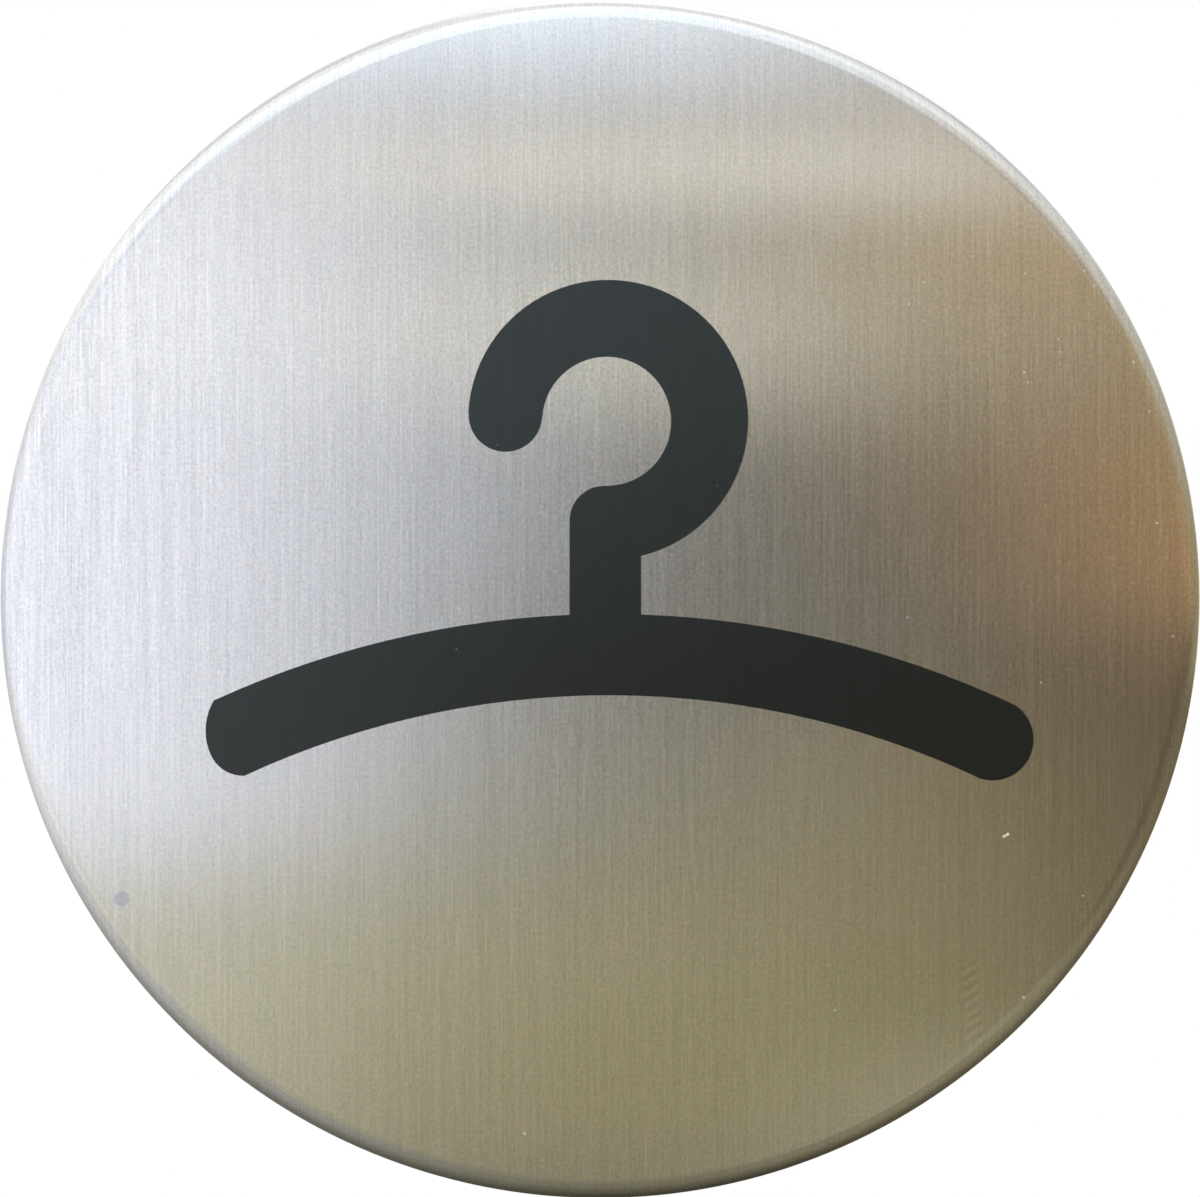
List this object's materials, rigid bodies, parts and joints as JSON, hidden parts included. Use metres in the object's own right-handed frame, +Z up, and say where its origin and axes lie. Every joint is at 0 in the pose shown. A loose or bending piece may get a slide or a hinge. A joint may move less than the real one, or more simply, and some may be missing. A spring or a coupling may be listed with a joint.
{
  "type": "round cloakroom door sign",
  "caption": "Round cloakroom door sign: a shallow pressed disc of brushed stainless steel with a black printed coat hanger and a self-adhesive foam pad inside its back.",
  "frame": {"origin": "centre of the foam pad's adhesive back face, where it meets the door", "axes": "+Y into the door, the printed face towards -Y, +Z up, +X to the right as seen from the front"},
  "size_m": [0.083, 0.0031, 0.083],
  "materials": {
    "brushed_steel": "stainless steel brushed in fine vertical lines, with a few scuffs and one dull spot",
    "black_print": "satin black screen print, faintly following the brushed lines under it",
    "pad_foam": "white closed-cell foam with an adhesive film on both faces"
  },
  "bodies": {
    "root": {"face_plate": "brushed_steel", "hanger_print": "black_print", "foam_pad": "pad_foam"}
  },
  "joints": []
}
